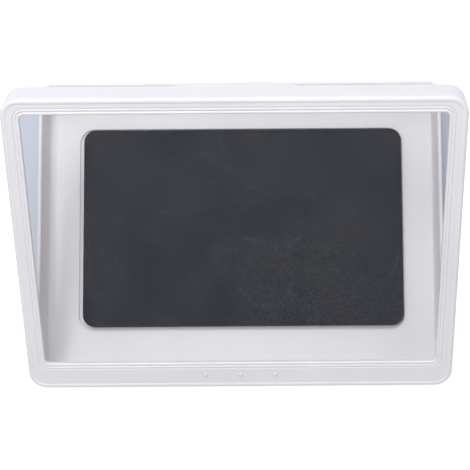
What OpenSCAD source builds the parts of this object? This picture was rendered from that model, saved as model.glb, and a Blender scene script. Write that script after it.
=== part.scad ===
// Hinged wet palette: a moulded tray that keeps a damp sponge under a windowed lid.
//
// X runs along the hinge, +Y points from the hinge to the thumb lip and +Z is up.
// The origin is the centre of the tray's flat underside, and the feet stand below it.
// The lid's pieces are drawn shut, and swing_open() turns them about the hinge pin.

/* [Tray] */
// Width of the tray across its rim
tray_w = 203.5; // [160:0.5:260]
// Depth of the tray across its rim, from the hinge side to the lip side
tray_d = 144; // [120:0.5:200]
// Height of the rim above the flat underside
rim_h = 24; // [22:0.5:36]
// Corner radius of the rim's outer edge
rim_r = 6; // [5.5:0.5:12]
// Thickness of the walls, which end in a fully rounded rim
wall_t = 2; // [1.6:0.1:2.4]
// How far the walls lean in from the rim to the underside
wall_lean = 0.5; // [0.2:0.1:1]
// Thickness of the floor
floor_t = 2.4; // [2:0.1:4]
// Radius of the fillet where the walls meet the floor
foot_fillet = 1.5; // [0.5:0.1:3]
// Radius of the rounded edge round the underside
under_edge_r = 1.6; // [0.5:0.1:2]

/* [Stop rib] */
// How far the rib that stops the lid's skirt stands out of the walls
stop_out = 1.2; // [0.8:0.1:1.6]
// Thickness of the stop rib
stop_h = 1.2; // [0.8:0.1:2]
// Gap between the stop rib and the shut lid's skirt
stop_gap = 0.3; // [0.2:0.05:1]

/* [Sponge] */
// Width of the sponge
sponge_w = 164; // [120:1:220]
// Depth of the sponge, from the hinge side to the lip side
sponge_d = 102; // [80:1:160]
// Thickness of the sponge
sponge_t = 4.8; // [3:0.1:8]
// Corner radius of the sponge
sponge_r = 6; // [3:0.5:12]
// Depth of the shallow recess that locates the sponge
recess_h = 1.2; // [0.4:0.1:1.4]
// Gap between the sponge and the edge of its recess when it lies in the middle
recess_gap = 1.5; // [1:0.1:2]
// How far the loose sponge lies to the right of the middle
sponge_x = 0.9; // [-0.9:0.1:0.9]
// How far the loose sponge lies from the middle towards the lip side
sponge_y = 0.4; // [-0.9:0.1:0.9]

/* [Feet] */
// Radius of a rubber foot
foot_r = 5; // [3:0.5:6]
// How far the feet stand below the underside
foot_out = 1; // [0.6:0.1:2]
// Depth of the socket that a foot sits in
foot_socket_h = 1; // [0.6:0.1:1.2]
// Distance from the outside of the rim to the centre of a foot
foot_inset = 14; // [12:0.5:16]
// Side clearance of a foot in its socket
foot_fit = 0.1; // [0.05:0.01:0.2]

/* [Lid] */
// Angle at which the lid stands open
lid_open = 36; // [0:1:120]
// Clearance between the lid's skirt and the rim
lid_gap = 0.5; // [0.5:0.1:1.5]
// Thickness of the lid's face
lid_face_t = 2; // [1.5:0.1:3]
// Head room between the rim and the underside of the lid's face
head_room = 2; // [2:0.1:3]
// Thickness of the lid's skirt
skirt_t = 1.75; // [1.7:0.05:2.6]
// Depth of the skirt below the lid's face
skirt_h = 12.6; // [9.5:0.1:14]
// Length over which the side skirts step down behind the hinge corners
skirt_ramp = 8; // [4:0.5:20]
// Corner radius of the lid's outer edge
lid_r = 8.5; // [8.5:0.5:14]
// Radius of the round bead that edges the lid's face
lid_edge_r = 1.6; // [0.8:0.1:1.7]
// How far that edge bead stands above the face
edge_rise = 0.35; // [0.1:0.05:0.6]
// Width of the lid's side bars, outer edge to window
side_bar = 8.5; // [8:0.1:12]
// Width of the bar behind the thumb lip
lip_bar = 7.85; // [7.5:0.05:12]
// Width of the bar over the hinge
hinge_bar = 14.3; // [14.2:0.1:20]

/* [Window] */
// Corner radius of the window opening
window_r = 2.4; // [1:0.1:6]
// Thickness of the clear panel
panel_t = 1.5; // [1:0.1:1.6]
// Clearance between the panel and the plug rib round it
panel_fit = 0.15; // [0.1:0.05:0.3]
// Radius of the two round beads along the window's edge
bead_r = 0.75; // [0.7:0.05:0.85]
// Spacing of the two beads
bead_pitch = 1.6; // [1.5:0.1:1.8]
// Depth of the grooves outside the beads
groove_h = 0.4; // [0.2:0.05:0.6]
// Distance from the window to the flat face outside the beads
band_in = 3.25; // [3.1:0.05:4]
// Radius of the flat face's rounded edge at the outer groove
band_r = 0.25; // [0.1:0.05:0.4]

/* [Plug rib] */
// Width of the rib that plugs into the tray's mouth
rib_w = 1.2; // [1:0.1:1.6]
// How far the plug rib reaches below the rim
rib_in = 1.5; // [1:0.1:1.6]
// Gap between the plug rib and the walls
rib_gap = 0.6; // [0.5:0.1:1]
// The same gap at the hinge side, where the rib swings past the wall
rib_gap_hinge = 1.2; // [1:0.1:1.6]

/* [Thumb lip] */
// Width of the thumb lip along its free edge
thumb_w = 55; // [30:1:80]
// Width of the thumb lip where it leaves the skirt
thumb_root_w = 47; // [20:1:70]
// How far the thumb lip stands out at its middle
thumb_out = 1.5; // [1:0.1:4]
// Height of the flat edge of the thumb lip
thumb_edge_h = 1.4; // [1:0.1:3]
// Distance from the lid's face to the root of the thumb lip
thumb_root_drop = 3; // [2.5:0.1:6]

/* [Snaps] */
// Distance of the two snaps from the middle of the lip side
snap_x = 42; // [20:1:60]
// Length of a snap
snap_l = 12; // [6:1:20]
// Radius of the snap beads and of the catches that they click under
snap_r = 0.5; // [0.4:0.05:0.6]
// How far the beads and the catches stand out of their walls
snap_out = 0.2; // [0.1:0.05:0.2]
// Height of the snap beads above the skirt's lower edge
snap_up = 3; // [2:0.1:5]
// Distance from a snap bead up to its catch
snap_step = 1.2; // [1.1:0.1:2]

/* [Hinge] */
// Spacing of the rivets, and of the leaf's knuckles under them
hinge_pitch = 17.2; // [12:0.1:22]
// Number of knuckles on the leaf
leaf_knuckles = 3; // [2:1:5]
// Outer radius of the knuckles
knuckle_r = 2.2; // [2:0.1:2.3]
// Gap between neighbouring knuckles
knuckle_gap = 0.35; // [0.2:0.05:0.8]
// How far the arms of the tray's knuckles run down the wall from the axis
arm_h = 7; // [5:0.1:9]
// Radius of the steel pin
pin_r = 1; // [0.7:0.05:1.2]
// Radial clearance of the pin in the tray's knuckles
pin_fit_tray = 0.02; // [0.01:0.01:0.05]
// Radial clearance of the pin in the leaf's knuckles
pin_fit_leaf = 0.06; // [0.03:0.01:0.1]
// Gap between the knuckles and the rim
hinge_rim_gap = 0.4; // [0.4:0.1:1]
// Gap between the knuckles and the lid's skirt
hinge_skirt_gap = 0.45; // [0.4:0.05:1.5]
// Distance from the rim down to the pin's axis
axis_drop = 3; // [2.8:0.1:4]
// Height of the notch in the skirt above the pin's axis
notch_h = 3; // [2.6:0.1:4]
// How far the notch runs past the ends of the pin
notch_side = 2.5; // [1:0.1:6]
// Thickness of the leaf
leaf_t = 1.6; // [1.2:0.1:1.6]
// How far the leaf runs past its outer knuckles
leaf_over = 5; // [1:0.5:5]
// Corner radius of the leaf
leaf_r = 0.8; // [0.4:0.1:2]
// Gap between the leaf and the plug rib
leaf_gap = 0.3; // [0.2:0.05:0.4]

/* [Rivets] */
// Distance from the lid's hinge edge to the rivets
rivet_in = 7.4; // [6.8:0.1:8.2]
// Radius of a rivet's shank
rivet_r = 0.65; // [0.4:0.05:0.8]
// Radius of a rivet's domed head
rivet_head_r = 1.15; // [0.9:0.05:1.3]
// Height of a rivet's domed head
rivet_head_h = 0.75; // [0.4:0.05:0.85]
// Radius of the upset tail of a rivet
rivet_tail_r = 1.15; // [1:0.05:1.4]
// Thickness of the upset tail
rivet_tail_h = 0.5; // [0.3:0.05:0.6]
// How deep the upset tail lies above the leaf's underside
rivet_tail_in = 0.1; // [0.05:0.05:0.2]
// Radial clearance round a rivet
rivet_fit = 0.07; // [0.05:0.01:0.1]

/* [Hidden] */

$fn = 64;
CUT = 1;            // how far a cutter runs past the face that it opens
SINK = 0.2;         // how far a rib or a bead runs into what carries it
SMALL_R = 0.4;      // rounding of thin free edges
ARC_FN = 256;       // segments of the thumb lip's long arc

// Tray
fillet_r = min(foot_fillet, rim_r - wall_t - wall_lean - SINK);
edge_r = min(under_edge_r, floor_t - SINK);
recess_z = floor_t - recess_h;

// Hinge axis
axis_y = -(tray_d / 2 + hinge_rim_gap + knuckle_r);
axis_z = rim_h - axis_drop;
knuckle_l = hinge_pitch / 2 - knuckle_gap;
leaf_span = (leaf_knuckles - 1) * hinge_pitch;
barrel_l = leaf_span + hinge_pitch + knuckle_l;
rivet_xs = [for (i = [0 : leaf_knuckles - 1]) i * hinge_pitch - leaf_span / 2];
tray_knuckle_xs = [for (i = [0 : leaf_knuckles]) (i - 0.5) * hinge_pitch - leaf_span / 2];

// Lid, shut
face_under = rim_h + head_room;
face_top = face_under + lid_face_t;
edge_top = face_top + edge_rise;
skirt_low = face_under - skirt_h;
lid_w = tray_w + 2 * (lid_gap + skirt_t);
lid_near = axis_y - knuckle_r - hinge_skirt_gap - skirt_t;
lid_far = tray_d / 2 + lid_gap + skirt_t;
lid_d = lid_far - lid_near;
lid_mid = (lid_far + lid_near) / 2;
window_w = lid_w - 2 * side_bar;
window_near = lid_near + hinge_bar;
window_far = lid_far - lip_bar;
window_d = window_far - window_near;
window_mid = (window_far + window_near) / 2;
border_w = band_in + CUT;
stop_z = skirt_low - stop_gap - stop_h;
snap_z = skirt_low + snap_up;

// Plug rib, panel and leaf
plug_w = tray_w - 2 * (wall_t + rib_gap);
plug_near = wall_t + rib_gap_hinge - tray_d / 2;
plug_far = tray_d / 2 - wall_t - rib_gap;
plug_d = plug_far - plug_near;
plug_mid = (plug_far + plug_near) / 2;
plug_r = max(rim_r - wall_t - rib_gap, rib_w + SINK);
panel_in = rib_w + panel_fit;
leaf_low = face_under - leaf_t;
leaf_far = plug_near - leaf_gap;
leaf_near = axis_y - knuckle_r;
rivet_y = lid_near + rivet_in;
tail_z = leaf_low + rivet_tail_in;

// ---- Plain shapes ----

// A w by d rectangle with round corners, drawn with true arcs.
module round_rect(w, d, r) {
    square([w - 2 * r, d], center = true);
    square([w, d - 2 * r], center = true);
    for (sx = [-1, 1], sy = [-1, 1])
        translate([sx * (w / 2 - r), sy * (d / 2 - r)])
            circle(r);
}

// A slab of a round rectangle from z0 to z1.
module slab(w, d, r, z0, z1) {
    translate([0, 0, z0])
        linear_extrude(z1 - z0)
            round_rect(w, d, r);
}

// Sweeps a section round a round rectangle: the section's x points outwards from
// the rectangle's edge, and its y is the height.
module sweep_round(w, d, r) {
    for (a = [0, 180])
        rotate([0, 0, a])
            translate([w / 2, 0, 0])
                rotate([90, 0, 0])
                    linear_extrude(d - 2 * r, center = true)
                        children();
    for (a = [90, 270])
        rotate([0, 0, a])
            translate([d / 2, 0, 0])
                rotate([90, 0, 0])
                    linear_extrude(w - 2 * r, center = true)
                        children();
    for (i = [0 : 3])
        translate([(i == 0 || i == 3 ? 1 : -1) * (w / 2 - r),
                   (i < 2 ? 1 : -1) * (d / 2 - r), 0])
            rotate([0, 0, 90 * i])
                rotate_extrude(angle = 90)
                    translate([r, 0])
                        children();
}

// A bar with a round end from x0 to x1, between the heights z0 and z0 + h.
module round_ended(x0, x1, z0, h) {
    translate([x0, z0])
        square([x1 - x0 - h / 2, h]);
    translate([x1 - h / 2, z0 + h / 2])
        circle(h / 2);
}

// A section drawn in Y and Z, extruded along X about the middle.
module along_x(length) {
    rotate([90, 0, 90])
        linear_extrude(length, center = true)
            children();
}

// A round bar along X at the hinge axis.
module hinge_bar_round(r, length) {
    translate([0, axis_y, axis_z])
        rotate([0, 90, 0])
            cylinder(r = r, h = length, center = true);
}

// Turns the lid's pieces from shut to where the lid stands.
module swing_open() {
    translate([0, axis_y, axis_z])
        rotate([lid_open, 0, 0])
            translate([0, -axis_y, -axis_z])
                children();
}

// ---- Tray ----

// How far the outside of the wall lies out from the rim's edge at height z.
function wall_x(z) = -wall_lean * (rim_h - z) / rim_h;

// Section of the wall: rounded rim, fillet to the floor and rounded lower edge.
module wall_section() {
    top_r = wall_t / 2;
    floor_end = wall_x(0) - wall_t - fillet_r;
    fillet_z = floor_t + fillet_r;
    fillet_x = wall_x(fillet_z) - wall_t - fillet_r;
    difference() {
        union() {
            polygon([[0, rim_h - top_r], [wall_x(0), 0], [floor_end, 0], [floor_end, floor_t],
                     [wall_x(floor_t) - wall_t, floor_t], [-wall_t, rim_h - top_r]]);
            translate([-top_r, rim_h - top_r])
                circle(top_r);
            difference() {
                translate([fillet_x, floor_t - SINK])
                    square([fillet_r + top_r, fillet_r + SINK]);
                translate([fillet_x, fillet_z])
                    circle(fillet_r);
            }
        }
        difference() {
            translate([wall_x(0) - edge_r, -CUT])
                square([edge_r + CUT, edge_r + CUT]);
            translate([wall_x(0) - edge_r, edge_r])
                circle(edge_r);
        }
    }
}

// One knuckle with the arm that carries it from the wall.
module tray_knuckle(x) {
    wall_mid = wall_t / 2 - tray_d / 2;
    translate([x, 0, 0]) {
        hinge_bar_round(knuckle_r, knuckle_l);
        along_x(knuckle_l)
            polygon([[axis_y, axis_z + knuckle_r], [wall_mid, axis_z + knuckle_r],
                     [wall_mid, axis_z - arm_h], [axis_y, axis_z - knuckle_r]]);
    }
}

// Half-round bar along X, for the snaps: its centre lies at y and z.
module snap_bar(y, z) {
    for (s = [-1, 1])
        translate([s * snap_x, y, z])
            rotate([0, 90, 0])
                cylinder(r = snap_r, h = snap_l, center = true);
}

function foot_spots() =
    [for (sy = [-1, 1], sx = [-1, 1])
        [sx * (tray_w / 2 - foot_inset), sy * (tray_d / 2 - foot_inset)]];

module base_tray() {
    catch_z = snap_z + snap_step;
    foot_in = wall_t + wall_lean;
    color("#e9e8ec")
    difference() {
        union() {
            slab(tray_w - 2 * foot_in, tray_d - 2 * foot_in, rim_r - foot_in, 0, floor_t);
            sweep_round(tray_w, tray_d, rim_r) {
                wall_section();
                round_ended(-wall_t / 2, stop_out, stop_z, stop_h);
            }
            snap_bar(tray_d / 2 + wall_x(catch_z) + snap_out - snap_r, catch_z);
            for (x = tray_knuckle_xs)
                tray_knuckle(x);
        }
        slab(sponge_w + 2 * recess_gap, sponge_d + 2 * recess_gap, sponge_r + recess_gap,
             recess_z, floor_t + CUT);
        for (p = foot_spots())
            translate([p[0], p[1], -CUT])
                cylinder(r = foot_r + foot_fit, h = foot_socket_h + CUT);
        hinge_bar_round(pin_r + pin_fit_tray, barrel_l + 2 * CUT);
    }
}

module sponge() {
    color("#3a3b42")
        translate([sponge_x, sponge_y, 0])
            slab(sponge_w, sponge_d, sponge_r, recess_z, recess_z + sponge_t);
}

module foot(spot) {
    color("#8d8e92")
        translate([spot[0], spot[1], 0])
            rotate_extrude()
                union() {
                    translate([0, -foot_out])
                        square([foot_r - SMALL_R, SMALL_R]);
                    translate([0, SMALL_R - foot_out])
                        square([foot_r, foot_socket_h + foot_out - SMALL_R]);
                    intersection() {
                        translate([foot_r - SMALL_R, SMALL_R - foot_out])
                            circle(SMALL_R);
                        translate([0, -foot_out])
                            square([foot_r, SMALL_R]);
                    }
                }
}

module foot_hinge_left() foot(foot_spots()[0]);
module foot_hinge_right() foot(foot_spots()[1]);
module foot_lip_left() foot(foot_spots()[2]);
module foot_lip_right() foot(foot_spots()[3]);

// ---- Hinge ----

module hinge_pin() {
    color("#b9bcc0")
        hinge_bar_round(pin_r, barrel_l);
}

// Plate under the lid's face, with one web and one knuckle under each rivet.
module hinge_leaf() {
    plate_l = leaf_span + knuckle_l + 2 * leaf_over;
    color("#e6e5ea")
    swing_open()
    difference() {
        union() {
            translate([0, (leaf_near + leaf_far) / 2, leaf_low])
                linear_extrude(leaf_t)
                    round_rect(plate_l, leaf_far - leaf_near, leaf_r);
            for (x = rivet_xs)
                translate([x, 0, 0]) {
                    hinge_bar_round(knuckle_r, knuckle_l);
                    along_x(knuckle_l)
                        polygon([[leaf_near, axis_z], [leaf_near, leaf_low + leaf_t / 2],
                                 [leaf_near + 2 * leaf_t, leaf_low + leaf_t / 2],
                                 [leaf_near + 2 * leaf_t, leaf_low],
                                 [leaf_near + leaf_t, leaf_low - leaf_t],
                                 [leaf_near + leaf_t, axis_z]]);
                }
        }
        hinge_bar_round(pin_r + pin_fit_leaf, barrel_l);
        for (x = rivet_xs)
            translate([x, rivet_y, leaf_low - CUT]) {
                cylinder(r = rivet_r + rivet_fit, h = leaf_t + 2 * CUT);
                cylinder(r = rivet_tail_r + 2 * rivet_fit,
                         h = CUT + rivet_tail_in + rivet_tail_h);
            }
    }
}

// Domed rivet through the lid's face and the leaf, with its tail upset below.
module leaf_rivet(x) {
    dome_r = (pow(rivet_head_r, 2) + pow(rivet_head_h, 2)) / (2 * rivet_head_h);
    color("#e4e3e8")
    swing_open()
    translate([x, rivet_y, 0]) {
        translate([0, 0, tail_z])
            cylinder(r = rivet_tail_r, h = rivet_tail_h);
        translate([0, 0, tail_z])
            cylinder(r = rivet_r, h = face_top + SINK - tail_z);
        intersection() {
            translate([0, 0, face_top + rivet_head_h - dome_r])
                sphere(dome_r);
            translate([0, 0, face_top])
                cylinder(r = 2 * rivet_head_r, h = 2 * rivet_head_r);
        }
    }
}

module leaf_rivet_left() leaf_rivet(rivet_xs[0]);
module leaf_rivet_middle() leaf_rivet(rivet_xs[floor(leaf_knuckles / 2)]);
module leaf_rivet_right() leaf_rivet(rivet_xs[leaf_knuckles - 1]);

// ---- Lid ----

// Section of the skirt, with the round bead that edges the face above it.
module skirt_section() {
    translate([-skirt_t, skirt_low + SMALL_R])
        square([skirt_t, edge_top - lid_edge_r - skirt_low - SMALL_R]);
    translate([-skirt_t + SMALL_R, skirt_low])
        square([skirt_t - 2 * SMALL_R, 2 * SMALL_R]);
    for (x = [-skirt_t + SMALL_R, -SMALL_R])
        translate([x, skirt_low + SMALL_R])
            circle(SMALL_R);
    intersection() {
        translate([-lid_edge_r, edge_top - lid_edge_r])
            circle(lid_edge_r);
        translate([-2 * lid_edge_r, face_under])
            square([2 * lid_edge_r, lid_face_t + edge_rise]);
    }
}

// Section of the face's border at the window: two round beads with grooves outside them.
module border_section() {
    bead_z = face_top - bead_r;
    groove_z = face_top - groove_h;
    translate([0, face_under])
        square([border_w, bead_z - face_under]);
    translate([bead_r, face_under])
        square([border_w - bead_r, groove_z - face_under]);
    for (i = [0, 1])
        translate([bead_r + i * bead_pitch, bead_z])
            circle(bead_r);
    translate([band_in, face_under])
        square([border_w - band_in, face_top - band_r - face_under]);
    translate([band_in + band_r, face_under])
        square([border_w - band_in - band_r, lid_face_t]);
    translate([band_in + band_r, face_top - band_r])
        circle(band_r);
}

// Cuts the skirt short at the hinge side, so that it clears the tray when it swings.
module skirt_relief() {
    corner_end = lid_near + lid_r + CUT;
    along_x(lid_w + 2 * CUT)
        polygon([[lid_near - CUT, skirt_low - CUT], [lid_near - CUT, axis_z],
                 [corner_end, axis_z], [corner_end + skirt_ramp, skirt_low],
                 [corner_end + skirt_ramp, skirt_low - CUT]]);
    translate([0, lid_near + skirt_t / 2, axis_z])
        cube([barrel_l + 2 * notch_side, skirt_t + 2 * SINK, 2 * notch_h], center = true);
}

// Flared lip for the thumb, with an arched free edge.
module thumb_lip() {
    arc_r = (pow(thumb_w / 2, 2) + pow(thumb_out, 2)) / (2 * thumb_out);
    hull() {
        translate([0, lid_far - skirt_t / 2, face_top - thumb_root_drop - SMALL_R / 2])
            cube([thumb_root_w, skirt_t, SMALL_R], center = true);
        translate([0, 0, skirt_low])
            linear_extrude(thumb_edge_h)
                intersection() {
                    translate([0, lid_far + thumb_out - arc_r])
                        circle(arc_r, $fn = ARC_FN);
                    translate([-thumb_w / 2, lid_far - skirt_t / 2])
                        square([thumb_w, thumb_out + skirt_t]);
                }
    }
}

module lid_frame() {
    color("#eceaf0")
    swing_open()
    difference() {
        union() {
            translate([0, lid_mid, 0])
                difference() {
                    slab(lid_w - 2 * lid_edge_r, lid_d - 2 * lid_edge_r, lid_r - lid_edge_r,
                         face_under, face_top);
                    translate([0, window_mid - lid_mid, 0])
                        slab(window_w + 2 * border_w - CUT, window_d + 2 * border_w - CUT,
                             window_r + border_w - CUT / 2,
                             face_under - CUT, face_top + CUT);
                }
            difference() {
                translate([0, lid_mid, 0])
                    sweep_round(lid_w, lid_d, lid_r)
                        skirt_section();
                skirt_relief();
            }
            translate([0, window_mid, 0])
                sweep_round(window_w, window_d, window_r)
                    border_section();
            translate([0, plug_mid, 0])
                sweep_round(plug_w, plug_d, plug_r)
                    translate([-rib_w, rim_h - rib_in])
                        square([rib_w, head_room + rib_in + SINK]);
            thumb_lip();
            snap_bar(lid_far - skirt_t - snap_out + snap_r, snap_z);
        }
        for (x = rivet_xs)
            translate([x, rivet_y, face_under - CUT])
                cylinder(r = rivet_r + rivet_fit, h = lid_face_t + 2 * CUT);
    }
}

module lid_window() {
    color("#dfe6ea", 0.3)
        swing_open()
            translate([0, plug_mid, 0])
                slab(plug_w - 2 * panel_in, plug_d - 2 * panel_in,
                     max(plug_r - panel_in, SINK), face_under - panel_t, face_under);
}

base_tray();
sponge();
foot_hinge_left();
foot_hinge_right();
foot_lip_left();
foot_lip_right();
hinge_pin();
hinge_leaf();
leaf_rivet_left();
leaf_rivet_middle();
leaf_rivet_right();
lid_frame();
lid_window();
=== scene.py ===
import logging
import math
import time
from dataclasses import dataclass, field
from enum import Enum

import bmesh
import bpy
from mathutils import Matrix, Vector, noise


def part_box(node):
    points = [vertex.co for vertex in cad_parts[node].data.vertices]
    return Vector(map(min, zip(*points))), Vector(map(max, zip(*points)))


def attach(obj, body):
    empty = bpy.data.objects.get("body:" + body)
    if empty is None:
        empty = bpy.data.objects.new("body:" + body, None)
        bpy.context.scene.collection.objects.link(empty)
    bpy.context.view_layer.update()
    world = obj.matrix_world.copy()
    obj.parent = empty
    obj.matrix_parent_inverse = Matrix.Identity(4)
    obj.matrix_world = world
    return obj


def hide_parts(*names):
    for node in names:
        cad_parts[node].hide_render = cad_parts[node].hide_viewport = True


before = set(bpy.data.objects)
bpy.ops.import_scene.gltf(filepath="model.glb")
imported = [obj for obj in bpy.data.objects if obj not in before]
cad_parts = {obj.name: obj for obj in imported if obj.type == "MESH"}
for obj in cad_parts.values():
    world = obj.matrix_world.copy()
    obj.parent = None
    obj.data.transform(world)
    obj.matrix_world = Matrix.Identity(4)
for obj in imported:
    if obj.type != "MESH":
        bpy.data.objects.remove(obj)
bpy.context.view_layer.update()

log = logging.getLogger("wet_palette")

MM = 0.001


class Body(Enum):
    """The two bodies of the palette that pieces ride on."""

    BASE = "base"
    LID = "lid"


class Slot(Enum):
    """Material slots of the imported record."""

    TRAY = "tray_plastic"
    LID = "lid_plastic"
    LEAF = "leaf_plastic"
    RIVET = "rivet_plastic"
    WINDOW = "window_clear"
    FOAM = "sponge_foam"
    FOOT = "foot_rubber"
    PIN = "pin_steel"


class Hang(Enum):
    """How a soft light hangs."""

    LEVEL = "facing straight down"
    TILTED = "facing the palette"


# ---- Node and colour helpers ----


def linear(hex_colour: str) -> tuple[float, float, float, float]:
    """Turns an sRGB hex colour into linear RGBA.

    Args:
        hex_colour: six hex digits after a hash sign.

    Returns:
        Red, green, blue and an alpha of 1, in linear light.
    """
    channels = [int(hex_colour[i:i + 2], 16) / 255 for i in (1, 3, 5)]
    low, slope, offset, scale, power = 0.04045, 12.92, 0.055, 1.055, 2.4
    lit = [c / slope if c <= low else ((c + offset) / scale) ** power for c in channels]
    return (*lit, 1.0)


def add_node(
    tree: bpy.types.NodeTree, kind: str, inputs: dict | None = None, **settings: object
) -> bpy.types.Node:
    """Adds one node, sets its properties, and fills or links its inputs.

    Args:
        tree: the node tree that the node goes into.
        kind: Blender's identifier of the node type.
        inputs: from a socket's name or number to a value, or to an output socket.
        **settings: the node's own properties.

    Returns:
        The new node.
    """
    made = tree.nodes.new(kind)
    for name, value in settings.items():
        setattr(made, name, value)
    for name, value in (inputs or {}).items():
        if isinstance(value, bpy.types.NodeSocket):
            tree.links.new(value, made.inputs[name])
        else:
            made.inputs[name].default_value = value
    return made


def shade(
    tree: bpy.types.NodeTree, source: bpy.types.NodeSocket, stops: list[tuple[float, str]]
) -> bpy.types.NodeSocket:
    """Turns a 0 to 1 pattern into a colour through a ramp.

    Args:
        tree: the node tree.
        source: the pattern's output socket.
        stops: places along the ramp, each with its sRGB hex colour.

    Returns:
        The ramp's colour output.
    """
    ramp = add_node(tree, "ShaderNodeValToRGB", {"Fac": source})
    elements = ramp.color_ramp.elements
    while len(elements) < len(stops):
        elements.new(1.0)
    for element, (place, colour) in zip(elements, stops):
        element.position = place
        element.color = linear(colour)
    return ramp.outputs["Color"]


def spread(
    tree: bpy.types.NodeTree, source: bpy.types.NodeSocket, low: float, high: float
) -> bpy.types.NodeSocket:
    """Maps a 0 to 1 pattern to the range low to high.

    Args:
        tree: the node tree.
        source: the pattern's output socket.
        low: the value at 0.
        high: the value at 1.

    Returns:
        The mapped value's output socket.
    """
    mapped = add_node(
        tree, "ShaderNodeMapRange", {"Value": source, "To Min": low, "To Max": high}
    )
    return mapped.outputs["Result"]


def grain(
    tree: bpy.types.NodeTree, size_mm: float, detail: float = 2.0,
    stretch: tuple[float, float, float] = (1.0, 1.0, 1.0),
) -> bpy.types.NodeSocket:
    """A noise in Object coordinates whose blobs are about size_mm across.

    Args:
        tree: the node tree.
        size_mm: size of one blob of the noise.
        detail: octaves of finer noise.
        stretch: factor on each axis, less than 1 where the blobs are drawn out.

    Returns:
        The noise's value output, from 0 to 1.
    """
    place = add_node(tree, "ShaderNodeTexCoord").outputs["Object"]
    if stretch != (1.0, 1.0, 1.0):
        place = add_node(
            tree, "ShaderNodeMapping", {"Vector": place, "Scale": stretch}
        ).outputs["Vector"]
    pattern = add_node(
        tree, "ShaderNodeTexNoise",
        {"Vector": place, "Scale": 1 / (size_mm * MM), "Detail": detail},
    )
    return pattern.outputs["Fac"]


@dataclass(frozen=True)
class Finish:
    """A material. Subclasses fill in the tree round one Principled BSDF."""

    name: str

    def material(self) -> bpy.types.Material:
        """Makes the material, or returns the one made before."""
        made = bpy.data.materials.get(self.name)
        if made:
            return made
        made = bpy.data.materials.new(self.name)
        made.use_nodes = True
        tree = made.node_tree
        tree.nodes.clear()
        shader = add_node(tree, "ShaderNodeBsdfPrincipled")
        add_node(tree, "ShaderNodeOutputMaterial", {"Surface": shader.outputs["BSDF"]})
        self.fill(tree, shader)
        return made

    def fill(self, tree: bpy.types.NodeTree, shader: bpy.types.Node) -> None:
        """Sets the shader's inputs; each subclass has its own.

        Args:
            tree: the material's node tree.
            shader: its Principled BSDF.
        """
        raise NotImplementedError

    def bump(
        self, tree: bpy.types.NodeTree, shader: bpy.types.Node,
        layers: list[tuple[bpy.types.NodeSocket, float]],
    ) -> None:
        """Stacks height patterns into one normal.

        Args:
            tree: the material's node tree.
            shader: its Principled BSDF.
            layers: each pattern with its height in millimetres.
        """
        normal = None
        for pattern, height_mm in layers:
            inputs = {"Height": pattern, "Distance": height_mm * MM, "Strength": 1.0}
            if normal:
                inputs["Normal"] = normal
            normal = add_node(tree, "ShaderNodeBump", inputs).outputs["Normal"]
        tree.links.new(normal, shader.inputs["Normal"])


@dataclass(frozen=True)
class MouldedPlastic(Finish):
    """Injection-moulded white polypropylene: satin, faintly milky, with a cool tint.

    The mould's fine spark texture breaks up highlights, slow waves come from
    shrinkage, and the flow of the melt leaves very faint streaks of tone.
    """

    light: str = "#EAE8EC"
    dark: str = "#E5E3E7"
    roughness: float = 0.38
    texture_mm: float = 0.35
    texture_high_mm: float = 0.003
    wave_mm: float = 26.0
    wave_high_mm: float = 0.05
    flow_mm: float = 45.0
    milkiness: float = 0.3
    milk_depth_mm: float = 2.5
    ior: float = 1.49

    def fill(self, tree: bpy.types.NodeTree, shader: bpy.types.Node) -> None:
        """Fills in the plastic's colour, gloss and relief."""
        flow = grain(tree, self.flow_mm, 3.0, (1.0, 0.35, 1.0))
        tree.links.new(
            shade(tree, flow, [(0.3, self.dark), (0.7, self.light)]),
            shader.inputs["Base Color"],
        )
        fine = grain(tree, self.texture_mm)
        tree.links.new(
            spread(tree, fine, self.roughness - 0.05, self.roughness + 0.07),
            shader.inputs["Roughness"],
        )
        shader.inputs["IOR"].default_value = self.ior
        shader.inputs["Subsurface Weight"].default_value = self.milkiness
        shader.inputs["Subsurface Radius"].default_value = (1.0, 0.95, 0.9)
        shader.inputs["Subsurface Scale"].default_value = self.milk_depth_mm * MM
        self.bump(
            tree, shader,
            [(grain(tree, self.wave_mm, 1.0), self.wave_high_mm), (fine, self.texture_high_mm)],
        )


@dataclass(frozen=True)
class ClearSheet(Finish):
    """Clear polystyrene sheet: it takes a little light away, and glosses at an angle."""

    tint: str = "#80868F"
    face_on: float = 0.04
    edge_on: float = 0.4
    glance_power: float = 5.0
    roughness: float = 0.05
    ior: float = 1.57
    smear_mm: float = 12.0
    ripple_mm: float = 30.0
    ripple_high_mm: float = 0.02

    def fill(self, tree: bpy.types.NodeTree, shader: bpy.types.Node) -> None:
        """Fills in the sheet's gloss, and how much of it shows by angle."""
        shader.inputs["Base Color"].default_value = linear(self.tint)
        shader.inputs["IOR"].default_value = self.ior
        smears = grain(tree, self.smear_mm, 3.0)
        tree.links.new(
            spread(tree, smears, self.roughness * 0.8, self.roughness * 1.4),
            shader.inputs["Roughness"],
        )
        facing = add_node(tree, "ShaderNodeLayerWeight", {"Blend": 0.5}).outputs["Facing"]
        glance = add_node(
            tree, "ShaderNodeMath", {0: facing, 1: self.glance_power}, operation="POWER"
        ).outputs[0]
        tree.links.new(
            spread(tree, glance, self.face_on, self.edge_on), shader.inputs["Alpha"]
        )
        ripples = grain(tree, self.ripple_mm, 1.0)
        self.bump(tree, shader, [(ripples, self.ripple_high_mm)])


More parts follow.
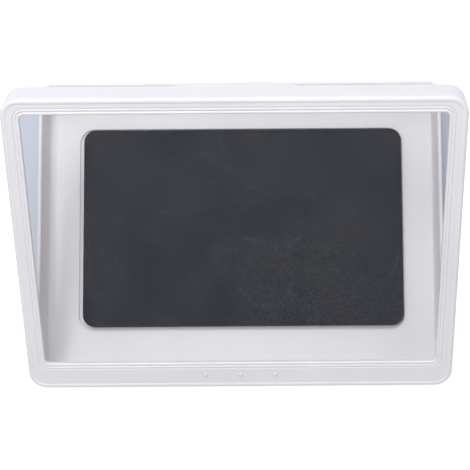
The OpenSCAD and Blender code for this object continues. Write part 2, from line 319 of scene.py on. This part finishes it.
@dataclass(frozen=True)
class OpenCellFoam(Finish):
    """Charcoal polyurethane foam, sliced from a block: open cells show as fine dark and
    pale grit, slow patches of tone lie where it holds more water, and a few faint arcs
    are left where a finger stroked it. The grit varies at random, and its dark end is
    also painted shade in the bumped-down pits, its pale end a painted lighter tone on
    the raised rims.
    """

    # The darkest colour is painted shade in the cells' pits and the palest a painted lighter tone
    # on their rims, over random grit.
    pit_shade: str = "#1C1D23"
    body: str = "#2C2E36"
    pale: str = "#3F424C"
    # Real cells are about 0.3 mm wide; they are drawn coarser so that they show.
    cell_mm: float = 0.95
    mottle_mm: float = 2.4
    patch_mm: float = 34.0
    stroke_mm: float = 34.0
    stroke_level: float = 0.52
    stroke_width: float = 0.02
    cell_high_mm: float = 0.1
    roughness: float = 0.92
    sheen: float = 0.1

    def fill(self, tree: bpy.types.NodeTree, shader: bpy.types.Node) -> None:
        """Fills in the cells' colour and relief."""
        place = add_node(tree, "ShaderNodeTexCoord").outputs["Object"]
        cells = add_node(
            tree, "ShaderNodeTexVoronoi",
            {"Vector": place, "Scale": 1 / (self.cell_mm * MM), "Randomness": 1.0},
        ).outputs["Distance"]
        grit = grain(tree, self.cell_mm * 0.9, 3.0)
        both = add_node(
            tree, "ShaderNodeMath", {0: cells, 1: 0.45, 2: grit}, operation="MULTIPLY_ADD"
        ).outputs[0]
        # Colour and bump share one pattern: the dark end falls in the pits as painted shade, the
        # pale end on the rims as a painted lighter tone.
        colour = shade(
            tree, both, [(0.6, self.pit_shade), (0.68, self.body), (0.79, self.pale)]
        )
        mottled = self.tinted(tree, colour, shade(
            tree, grain(tree, self.mottle_mm), [(0.3, "#D2D2D2"), (0.7, "#FFFFFF")]
        ))
        damp = self.tinted(tree, mottled, shade(
            tree, grain(tree, self.patch_mm, 4.0),
            [(0.36, "#B8BDD4"), (0.5, "#E6E6F0"), (0.62, "#FFFAF8")],
        ))
        dried = self.tinted(tree, damp, shade(
            tree, self.strokes(tree, place), [(0.0, "#DADADA"), (1.0, "#FFFFFF")]
        ))
        tree.links.new(dried, shader.inputs["Base Color"])
        shader.inputs["Roughness"].default_value = self.roughness
        shader.inputs["Specular IOR Level"].default_value = 0.25
        shader.inputs["Sheen Weight"].default_value = self.sheen
        shader.inputs["Sheen Roughness"].default_value = 0.6
        self.bump(tree, shader, [(both, self.cell_high_mm)])

    def tinted(
        self, tree: bpy.types.NodeTree, colour: bpy.types.NodeSocket,
        tint: bpy.types.NodeSocket,
    ) -> bpy.types.NodeSocket:
        """Multiplies a colour by a tint.

        Args:
            tree: the material's node tree.
            colour: the colour to tint.
            tint: the colour that it is multiplied by.

        Returns:
            The tinted colour's output socket.
        """
        mixed = add_node(
            tree, "ShaderNodeMixRGB", {"Fac": 1.0, "Color1": colour, "Color2": tint},
            blend_type="MULTIPLY",
        )
        return mixed.outputs["Color"]

    def strokes(
        self, tree: bpy.types.NodeTree, place: bpy.types.NodeSocket
    ) -> bpy.types.NodeSocket:
        """Draws thin broken arcs as the level lines of a slow noise.

        Args:
            tree: the material's node tree.
            place: the coordinates to draw in.

        Returns:
            1 on an arc and 0 away from it.
        """
        slow = add_node(
            tree, "ShaderNodeTexNoise",
            {"Vector": place, "Scale": 1 / (self.stroke_mm * MM), "Detail": 0.0},
        ).outputs["Fac"]
        offset = add_node(
            tree, "ShaderNodeMath", {0: slow, 1: self.stroke_level}, operation="SUBTRACT"
        )
        away = add_node(tree, "ShaderNodeMath", {0: offset.outputs[0]}, operation="ABSOLUTE")
        line = add_node(
            tree, "ShaderNodeMapRange",
            {"Value": away.outputs[0], "From Max": self.stroke_width,
             "To Min": 1.0, "To Max": 0.0},
        )
        gaps = spread(tree, grain(tree, self.stroke_mm * 0.5, 1.0), -1.2, 2.8)
        broken = add_node(
            tree, "ShaderNodeMath", {0: line.outputs["Result"], 1: gaps}, operation="MULTIPLY",
            use_clamp=True,
        )
        return broken.outputs[0]


@dataclass(frozen=True)
class MouldedRubber(Finish):
    """Moulded grey rubber of the feet: matt, with a sanded look and dusty specks."""

    light: str = "#94959A"
    dark: str = "#7F8086"
    roughness: float = 0.78
    ior: float = 1.52
    speck_mm: float = 0.9
    speck_high_mm: float = 0.02

    def fill(self, tree: bpy.types.NodeTree, shader: bpy.types.Node) -> None:
        """Fills in the rubber's colour and skin."""
        tone = grain(tree, self.speck_mm, 4.0)
        tree.links.new(
            shade(tree, tone, [(0.35, self.dark), (0.65, self.light)]),
            shader.inputs["Base Color"],
        )
        shader.inputs["Roughness"].default_value = self.roughness
        shader.inputs["IOR"].default_value = self.ior
        self.bump(tree, shader, [(tone, self.speck_high_mm)])


@dataclass(frozen=True)
class DrawnSteel(Finish):
    """Drawn stainless wire of the hinge pin: bright, with fine lines along its length."""

    light: str = "#D3D5D8"
    dark: str = "#B4B7BB"
    line_mm: float = 0.25
    line_high_mm: float = 0.004

    def fill(self, tree: bpy.types.NodeTree, shader: bpy.types.Node) -> None:
        """Fills in the steel's colour and its drawing lines."""
        lines = grain(tree, self.line_mm, 2.0, (0.02, 1.0, 1.0))
        tree.links.new(
            shade(tree, lines, [(0.3, self.dark), (0.7, self.light)]),
            shader.inputs["Base Color"],
        )
        shader.inputs["Metallic"].default_value = 1.0
        tree.links.new(spread(tree, lines, 0.22, 0.36), shader.inputs["Roughness"])
        self.bump(tree, shader, [(lines, self.line_high_mm)])


def dress_node(name: str, finish: Finish) -> None:
    """Gives a CAD node its finish.

    Args:
        name: the CAD node.
        finish: what it is made of.
    """
    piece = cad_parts[name]
    if not piece.material_slots:
        piece.data.materials.append(None)
    for slot in piece.material_slots:
        slot.material = finish.material()
    log.info("%s dressed as %s", name, finish.name)


# ---- Sub-assemblies ----


@dataclass
class Tray:
    """The moulded tray with its feet and the hinge pin in its knuckles."""

    plastic: Finish = field(default_factory=lambda: MouldedPlastic("polypropylene_tray"))
    rubber: Finish = field(default_factory=lambda: MouldedRubber("rubber_foot"))
    steel: Finish = field(default_factory=lambda: DrawnSteel("drawn_steel_pin"))

    def dress(self) -> None:
        """Dresses the tray's CAD nodes."""
        dress_node("base_tray", self.plastic)
        dress_node("hinge_pin", self.steel)
        for row in ("hinge", "lip"):
            for side in ("left", "right"):
                dress_node(f"foot_{row}_{side}", self.rubber)


@dataclass
class Lid:
    """The moulded lid with its window, hinge leaf and rivets."""

    plastic: Finish = field(default_factory=lambda: MouldedPlastic("polypropylene_lid"))
    clear: Finish = field(default_factory=lambda: ClearSheet("polystyrene_window"))

    def dress(self) -> None:
        """Dresses the lid's CAD nodes."""
        dress_node("lid_frame", self.plastic)
        dress_node("lid_window", self.clear)
        dress_node("hinge_leaf", self.plastic)
        for place in ("left", "middle", "right"):
            dress_node(f"leaf_rivet_{place}", self.plastic)


@dataclass
class Sponge:
    """The foam slab that lies in the tray's recess.

    Sizes are in millimetres.
    """

    corner_r: float = 6.0
    corner_steps: int = 8
    edge_r: float = 0.5
    edge_steps: int = 2
    cell: float = 1.0
    dimple: float = 0.12
    fine_pit: float = 0.9
    wide_pit: float = 2.3
    wide_share: float = 0.6
    softness: float = 0.9
    finish: Finish = field(default_factory=lambda: OpenCellFoam("open_cell_foam"))

    def build(self) -> bpy.types.Object:
        """Cuts the slab, rounds it, divides its skin and gives it its open cells."""
        low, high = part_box("sponge")
        size, middle = high - low, (high + low) / 2
        bm = bmesh.new()
        bmesh.ops.create_cube(
            bm, size=1.0, matrix=Matrix.Translation(middle) @ Matrix.Diagonal((*size, 1.0))
        )
        uprights = [e for e in bm.edges if abs((e.verts[0].co - e.verts[1].co).z) > size.z / 2]
        bmesh.ops.bevel(
            bm, geom=uprights, offset=self.corner_r * MM, segments=self.corner_steps,
            profile=0.5, affect="EDGES", material=-1,
        )
        rings = [
            e for e in bm.edges
            if abs((e.verts[0].co - e.verts[1].co).z) < size.z / 2
        ]
        bmesh.ops.bevel(
            bm, geom=rings, offset=self.edge_r * MM, segments=self.edge_steps,
            profile=0.5, affect="EDGES", material=-1,
        )
        for axis in range(2):
            normal = Vector((axis == 0, axis == 1, 0))
            steps = round(size[axis] / (self.cell * MM))
            for i in range(1, steps):
                place = middle.copy()
                place[axis] = low[axis] + size[axis] * i / steps
                bmesh.ops.bisect_plane(
                    bm, geom=bm.verts[:] + bm.edges[:] + bm.faces[:], dist=1e-7,
                    plane_co=place, plane_no=normal,
                )
        self.open_cells(bm, low)
        bmesh.ops.recalc_face_normals(bm, faces=bm.faces[:])
        self.settle_order(bm)
        mesh = bpy.data.meshes.new("sponge_foam")
        bm.to_mesh(mesh)
        bm.free()
        mesh.shade_smooth()
        piece = bpy.data.objects.new("sponge_foam", mesh)
        bpy.context.scene.collection.objects.link(piece)
        piece.data.materials.append(self.finish.material())
        return piece

    def open_cells(self, bm: bmesh.types.BMesh, low: Vector) -> None:
        """Presses shallow pits into the skin, all but its rounded lower edge.

        Args:
            bm: the divided slab.
            low: lowest corner of the slab.
        """
        bm.normal_update()
        pits = []
        for vert in bm.verts:
            if vert.co.z < low.z + self.edge_r * MM:
                continue
            fine = noise.noise(vert.co / (self.fine_pit * MM))
            wide = noise.noise(vert.co / (self.wide_pit * MM))
            grit = fine + self.wide_share * wide
            pits.append((vert, vert.normal * (min(grit, 0.0) * self.dimple * MM)))
        for vert, move in pits:
            vert.co += move

    def settle_order(self, bm: bmesh.types.BMesh) -> None:
        """Sorts edges and faces by their corners, because cuts leave them in no fixed order.

        Args:
            bm: the finished slab.
        """
        bm.verts.index_update()
        count = len(bm.verts)

        def rank(element: bmesh.types.BMEdge | bmesh.types.BMFace) -> float:
            """Makes one number of an element's lowest corners, two or three of them."""
            number = 0
            for corner in sorted(vert.index for vert in element.verts)[:3]:
                number = number * count + corner
            return float(number)

        bm.edges.sort(key=rank)
        bm.faces.sort(key=rank)

    def place(self, piece: bpy.types.Object) -> None:
        """Puts the foam in place of its CAD solid."""
        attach(piece, Body.BASE.value)
        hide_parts("sponge")
        log.info("foam with %d faces", len(piece.data.polygons))


@dataclass
class Studio:
    """Camera, soft lights and a plain pale floor."""

    focal_px: float = 1378.3
    frame_px: float = 470.0
    centre_px: tuple[float, float] = (280.0, 275.0)
    turn_deg: tuple[float, float, float] = (-6.3861, 0.0241, 0.405)
    eye_mm: tuple[float, float, float] = (19.47, -103.194, 707.234)
    sensor_mm: float = 36.0
    floor_z: float = -1.03
    floor_size: float = 4000.0
    paper: str = "#CBD0DC"
    paper_glow: float = 0.72

    def camera(self) -> None:
        """Places the camera over the palette."""
        data = bpy.data.cameras.new("camera")
        data.sensor_width = self.sensor_mm
        data.lens = self.focal_px / self.frame_px * self.sensor_mm
        data.shift_x = (self.frame_px / 2 - self.centre_px[0]) / self.frame_px
        data.shift_y = (self.centre_px[1] - self.frame_px / 2) / self.frame_px
        data.clip_start, data.clip_end = 0.02, 20.0
        x, y, z = (math.radians(a) for a in self.turn_deg)
        turn = Matrix.Rotation(z, 3, "Z") @ Matrix.Rotation(y, 3, "Y") @ Matrix.Rotation(x, 3, "X")
        camera = bpy.data.objects.new("camera", data)
        camera.matrix_world = (
            Matrix.Translation(Vector(self.eye_mm) * MM) @ turn.transposed().to_4x4()
        )
        bpy.context.scene.collection.objects.link(camera)
        bpy.context.scene.camera = camera

    def soft_box(
        self, name: str, place_mm: tuple[float, float, float], size_mm: tuple[float, float],
        watts: float, hang: Hang,
    ) -> None:
        """Hangs one soft white light.

        Args:
            name: the light's name.
            place_mm: its centre.
            size_mm: its two sides.
            watts: its power.
            hang: which way it faces.
        """
        data = bpy.data.lights.new(name, "AREA")
        data.shape = "RECTANGLE"
        data.size, data.size_y = (side * MM for side in size_mm)
        data.energy = watts
        light = bpy.data.objects.new(name, data)
        place = Vector(place_mm) * MM
        light.matrix_world = Matrix.Translation(place)
        if hang is Hang.TILTED:
            light.matrix_world @= (-place).to_track_quat("-Z", "Y").to_matrix().to_4x4()
        bpy.context.scene.collection.objects.link(light)

    def looks(self, tree: bpy.types.NodeTree) -> bpy.types.NodeSocket:
        """Tells rays that look at the backdrop from those that carry its light.

        Args:
            tree: the node tree of the backdrop or the world.

        Returns:
            1 for a ray of the camera, a reflection or a refraction, else 0.
        """
        path = add_node(tree, "ShaderNodeLightPath")
        mirrored = add_node(
            tree, "ShaderNodeMath",
            {0: path.outputs["Is Camera Ray"], 1: path.outputs["Is Glossy Ray"]},
            operation="ADD",
        )
        looking = add_node(
            tree, "ShaderNodeMath",
            {0: mirrored.outputs[0], 1: path.outputs["Is Transmission Ray"]},
            operation="ADD", use_clamp=True,
        )
        return looking.outputs[0]

    def sky(self, strength: float, colour: str) -> None:
        """Lights the palette evenly from all round.

        Args:
            strength: level of the fill.
            colour: its sRGB colour.
        """
        world = bpy.data.worlds.new("studio")
        world.use_nodes = True
        tree = world.node_tree
        tree.nodes.clear()
        fill = add_node(
            tree, "ShaderNodeBackground", {"Color": linear(colour), "Strength": strength}
        )
        plain = add_node(
            tree, "ShaderNodeBackground", {"Color": linear("#FFFFFF"), "Strength": 1.0}
        )
        both = add_node(
            tree, "ShaderNodeMixShader",
            {0: self.looks(tree), 1: fill.outputs[0], 2: plain.outputs[0]},
        )
        add_node(tree, "ShaderNodeOutputWorld", {"Surface": both.outputs[0]})
        bpy.context.scene.world = world

    def floor(self) -> None:
        """Lays the pale floor that keeps the palette's shadow."""
        bm = bmesh.new()
        bmesh.ops.create_grid(
            bm, x_segments=1, y_segments=1, size=self.floor_size / 2 * MM,
            matrix=Matrix.Translation((0, 0, self.floor_z * MM)),
        )
        mesh = bpy.data.meshes.new("floor")
        bm.to_mesh(mesh)
        bm.free()
        floor = bpy.data.objects.new("floor", mesh)
        bpy.context.scene.collection.objects.link(floor)
        made = bpy.data.materials.new("backdrop_paper")
        made.use_nodes = True
        tree = made.node_tree
        tree.nodes.clear()
        paper = add_node(tree, "ShaderNodeBsdfDiffuse", {"Color": linear(self.paper)})
        dark = add_node(tree, "ShaderNodeEmission", {"Strength": 0.0})
        glow = add_node(
            tree, "ShaderNodeEmission",
            {"Color": linear("#FFFFFF"), "Strength": self.paper_glow},
        )
        path = add_node(tree, "ShaderNodeLightPath")
        behind = add_node(
            tree, "ShaderNodeMath", {0: path.outputs["Transparent Depth"], 1: 0.5},
            operation="LESS_THAN",
        )
        open_view = add_node(
            tree, "ShaderNodeMath", {0: self.looks(tree), 1: behind.outputs[0]},
            operation="MULTIPLY",
        )
        seen = add_node(
            tree, "ShaderNodeMixShader",
            {0: open_view.outputs[0], 1: dark.outputs[0], 2: glow.outputs[0]},
        )
        both = add_node(tree, "ShaderNodeAddShader", {0: paper.outputs[0], 1: seen.outputs[0]})
        add_node(tree, "ShaderNodeOutputMaterial", {"Surface": both.outputs[0]})
        mesh.materials.append(made)

    def build(self) -> None:
        """Sets up everything that isn't the palette."""
        bpy.context.scene.view_settings.view_transform = "Standard"
        self.camera()
        self.sky(0.43, "#FFFFFF")
        self.soft_box("long_box", (-20.0, 600.0, 1000.0), (200.0, 900.0), 4.2, Hang.LEVEL)
        self.soft_box("top_box", (-20.0, 0.0, 900.0), (200.0, 300.0), 0.9, Hang.LEVEL)
        self.soft_box("left_box", (-230.0, 130.0, 900.0), (160.0, 560.0), 2.1, Hang.LEVEL)
        self.soft_box("left_fill", (-900.0, 0.0, 900.0), (800.0, 800.0), 0.9, Hang.TILTED)
        self.soft_box("front_fill", (0.0, -900.0, 900.0), (800.0, 800.0), 0.7, Hang.TILTED)
        self.soft_box("right_fill", (900.0, 0.0, 700.0), (800.0, 600.0), 0.5, Hang.TILTED)
        self.floor()


def main() -> None:
    """Builds the studio and the palette's sub-assemblies in order."""
    logging.basicConfig(level=logging.INFO, format="%(name)s: %(message)s")
    started = time.time()
    Studio().build()
    Tray().dress()
    Lid().dress()
    sponge = Sponge()
    sponge.place(sponge.build())
    log.info("built in %.1f s", time.time() - started)


if __name__ == "__main__":
    main()
